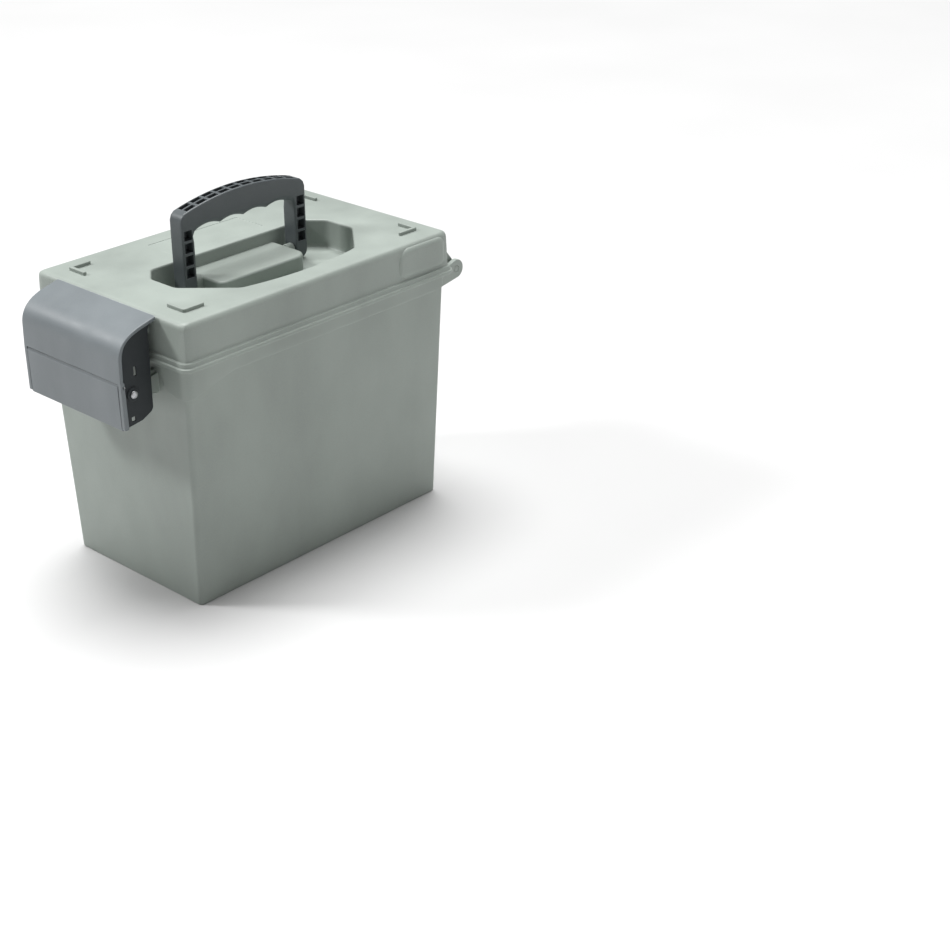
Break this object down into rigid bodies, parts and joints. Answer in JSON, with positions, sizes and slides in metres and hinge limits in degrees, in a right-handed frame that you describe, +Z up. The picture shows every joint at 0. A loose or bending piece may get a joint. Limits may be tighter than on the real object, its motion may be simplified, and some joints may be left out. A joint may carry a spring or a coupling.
{
  "type": "dry storage box",
  "caption": "Rigid sealed storage box for shotgun shells, with removable trays, a folding carry handle, an end latch and a hinged lid.",
  "frame": {"origin": "centre of the overall outline on the surface that the box stands on", "axes": "+Z up, +X from the latch end to the hinge end, +Y towards the label panel; the handle folds towards -Y"},
  "size_m": [0.3616, 0.193, 0.307],
  "materials": {
    "sage_plastic": "satin moulded",
    "slate_plastic": "satin moulded",
    "charcoal_plastic": "satin moulded",
    "teal_plastic": "smooth moulded",
    "shell_plastic": "ribbed moulded",
    "shell_brass": "bright",
    "seal_rubber": "matte",
    "pin_steel": "bright"
  },
  "bodies": {
    "bucket": {"bucket": "sage_plastic", "hinge_rod_near": "sage_plastic", "hinge_rod_far": "sage_plastic", "latch_pin_near": "pin_steel", "latch_pin_far": "pin_steel", "upper_tray_latch_end": "teal_plastic", "upper_tray_hinge_end": "teal_plastic", "upper_rounds_latch_end": "shell_plastic", "upper_rounds_hinge_end": "shell_plastic", "lower_tray_latch_end": "teal_plastic", "lower_tray_hinge_end": "teal_plastic", "lower_rounds_latch_end": "shell_plastic", "lower_rounds_hinge_end": "shell_plastic"},
    "lid": {"lid": "sage_plastic", "lid_seal": "seal_rubber", "handle_pin_latch_end": "pin_steel", "handle_pin_hinge_end": "pin_steel"},
    "latch_cover": {"latch_cover": "slate_plastic", "flap_pin_near": "pin_steel", "flap_pin_far": "pin_steel"},
    "latch_flap": {"latch_flap": "slate_plastic"},
    "handle": {"handle": "charcoal_plastic"}
  },
  "joints": [
    {"name": "lid_hinge", "type": "hinge", "parent": "bucket", "child": "lid", "pos_m": [0.17235, 0, 0.21], "axis": [0, 1, 0], "range_deg": [0, 110]},
    {"name": "latch_swing", "type": "hinge", "parent": "bucket", "child": "latch_cover", "pos_m": [-0.16915, 0, 0.196], "axis": [0, -1, 0], "range_deg": [0, 75]},
    {"name": "flap_lift", "type": "hinge", "parent": "latch_cover", "child": "latch_flap", "pos_m": [-0.17785, 0, 0.204], "axis": [0, 1, 0], "range_deg": [0, 90]},
    {"name": "handle_fold", "type": "hinge", "parent": "lid", "child": "handle", "pos_m": [0.00635, 0.0065, 0.2375], "axis": [1, 0, 0], "range_deg": [0, 90]}
  ]
}
